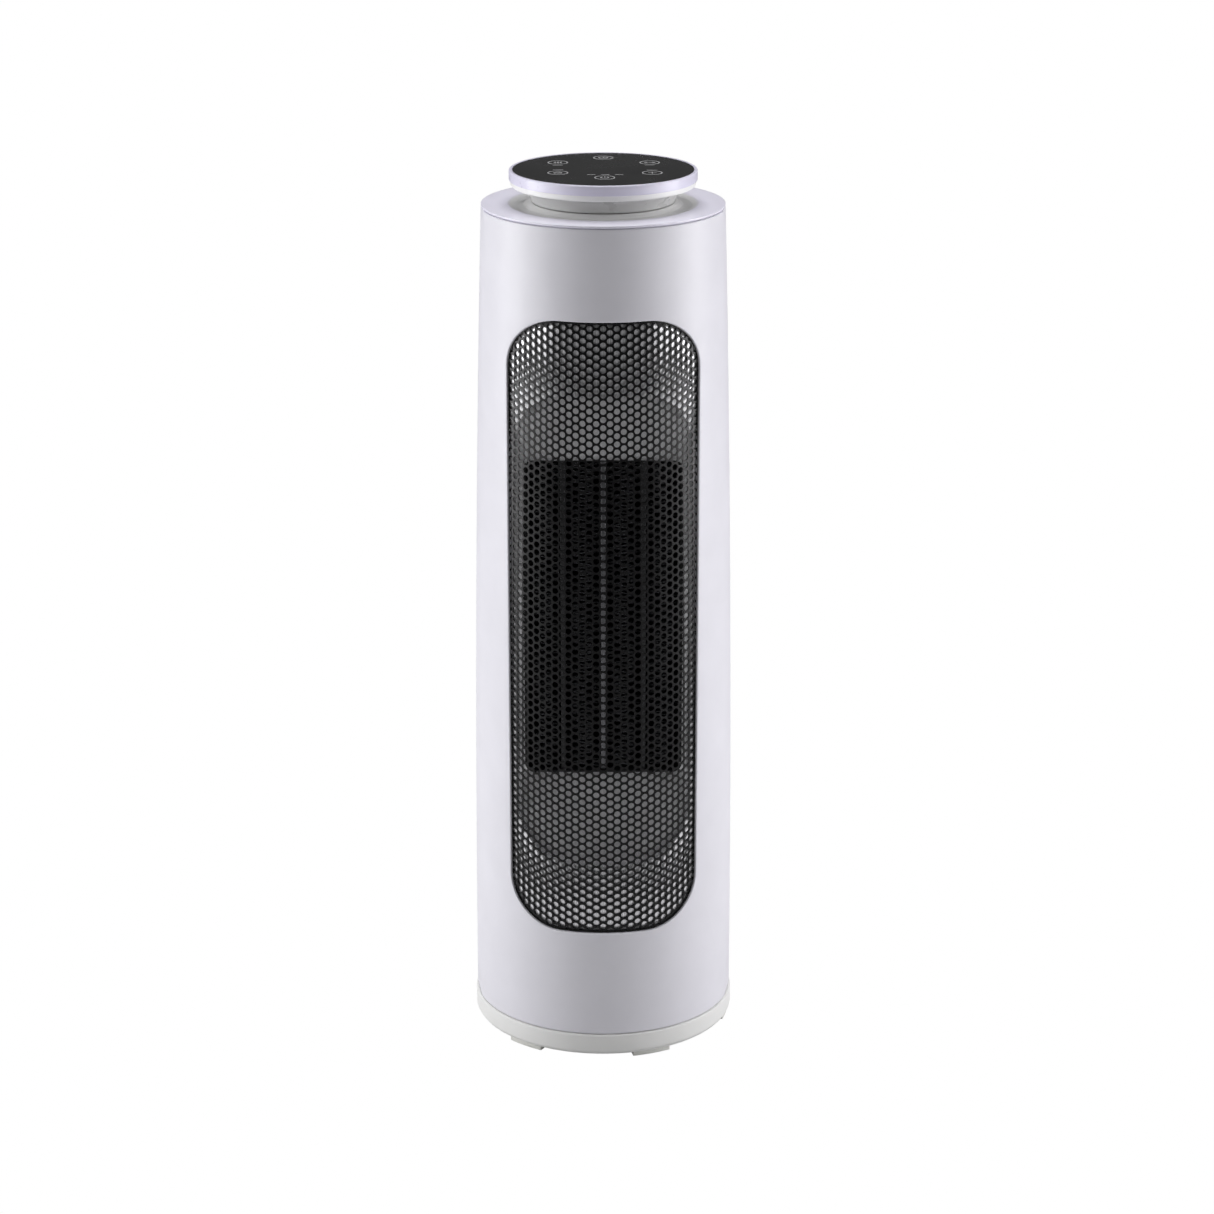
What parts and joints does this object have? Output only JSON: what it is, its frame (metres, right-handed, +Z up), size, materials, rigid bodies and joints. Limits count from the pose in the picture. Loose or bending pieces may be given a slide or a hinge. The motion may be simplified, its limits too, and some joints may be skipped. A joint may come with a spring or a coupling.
{
  "type": "ceramic space heater",
  "caption": "Tall tapered round tower fan heater with a perforated front outlet, a round touch panel on a flared neck, a swinging tower and a low footed base.",
  "frame": {"origin": "on the floor under the tower's axis", "axes": "+Z up along the tower's axis; the outlet grille faces -Y and the intake cover faces +Y; +X is to the right seen from the front"},
  "size_m": [0.1716, 0.1716, 0.5721],
  "materials": {
    "shell_white": "semi-gloss cool white moulding",
    "ivory": "semi-gloss warm white moulding",
    "foot_ivory": "matt warm white rubber",
    "grille_black": "satin black",
    "liner_silver": "satin silver",
    "black_moulding": "matt black, heat resistant",
    "fins_dark": "dark corrugated strip",
    "aluminium": "satin",
    "steel": "zinc plated",
    "nylon": "natural nylon",
    "grey_moulding": "matt grey moulding",
    "filter_grey": "open-cell foam",
    "circuit_board": "green solder mask",
    "glass_black": "polished black, back-printed panel"
  },
  "bodies": {
    "base": {"base_housing": "ivory", "base_bottom_cover": "ivory", "foot_1": "foot_ivory", "foot_2": "foot_ivory", "foot_3": "foot_ivory", "foot_4": "foot_ivory", "foot_5": "foot_ivory", "foot_6": "foot_ivory", "base_screw_1": "steel", "base_screw_2": "steel", "base_screw_3": "steel", "cord_inlet_grommet": "ivory", "tip_switch": "black_moulding", "oscillation_fixed_gear": "nylon", "slide_ring": "nylon", "turntable_retaining_ring": "nylon"},
    "tower": {"shell_screw_1": "steel", "shell_screw_2": "steel", "shell_screw_3": "steel", "shell_screw_4": "steel", "turntable_plate": "grey_moulding", "front_shell": "shell_white", "rear_shell": "shell_white", "front_grille": "grille_black", "outlet_duct_liner": "liner_silver", "heater_frame": "black_moulding", "ptc_bar_left": "aluminium", "ptc_bar_centre": "aluminium", "ptc_bar_right": "aluminium", "heater_fins_1": "fins_dark", "heater_fins_2": "fins_dark", "heater_fins_3": "fins_dark", "heater_fins_4": "fins_dark", "thermal_cutoff": "aluminium", "blower_scroll": "grey_moulding", "blower_tongue": "grey_moulding", "blower_bottom_plate": "grey_moulding", "blower_top_plate": "grey_moulding", "upper_bearing": "nylon", "motor_housing": "aluminium", "motor_end_cap": "aluminium", "motor_stator": "steel", "power_board": "circuit_board", "heater_relay_1": "black_moulding", "heater_relay_2": "black_moulding", "oscillation_motor": "steel", "main_switch_bezel": "black_moulding", "top_cap": "shell_white", "panel_neck": "ivory", "panel_housing": "shell_white", "touch_glass": "glass_black", "touch_board": "circuit_board"},
    "tip_plunger": {"tip_switch_plunger": "nylon"},
    "fan": {"crossflow_wheel": "grey_moulding", "motor_shaft": "steel", "motor_rotor": "steel"},
    "pinion": {"oscillation_pinion": "nylon"},
    "rocker": {"main_switch_rocker": "black_moulding"},
    "intake": {"intake_cover": "shell_white", "dust_filter": "filter_grey"}
  },
  "joints": [
    {"name": "oscillate", "type": "hinge", "parent": "base", "child": "tower", "pos_m": [0, 0, 0.0174], "axis": [0, 0, 1], "range_deg": [-35, 35]},
    {"name": "fan_spin", "type": "hinge", "parent": "tower", "child": "fan", "pos_m": [0, 0.024, 0.29], "axis": [0, 0, 1], "continuous": true},
    {"name": "pinion_turn", "type": "hinge", "parent": "tower", "child": "pinion", "pos_m": [0, 0.0352, 0.0154], "axis": [0, 0, 1], "range_deg": [-94, 94]},
    {"name": "tip_plunger_slide", "type": "slide", "parent": "base", "child": "tip_plunger", "axis": [0, 0, 1], "range_m": [-0.0032, 0], "stiffness_N_per_m": 100, "springref_m": -0.01},
    {"name": "rocker_tilt", "type": "hinge", "parent": "tower", "child": "rocker", "pos_m": [0, 0.0795, 0.062], "axis": [1, 0, 0], "range_deg": [0, 16]},
    {"name": "intake_lift_out", "type": "slide", "parent": "tower", "child": "intake", "axis": [0, 1, 0], "range_m": [0, 0.03]}
  ],
  "couplings": [
    {"joint": "pinion_turn", "follows": "oscillate", "ratio": 2.6667}
  ]
}
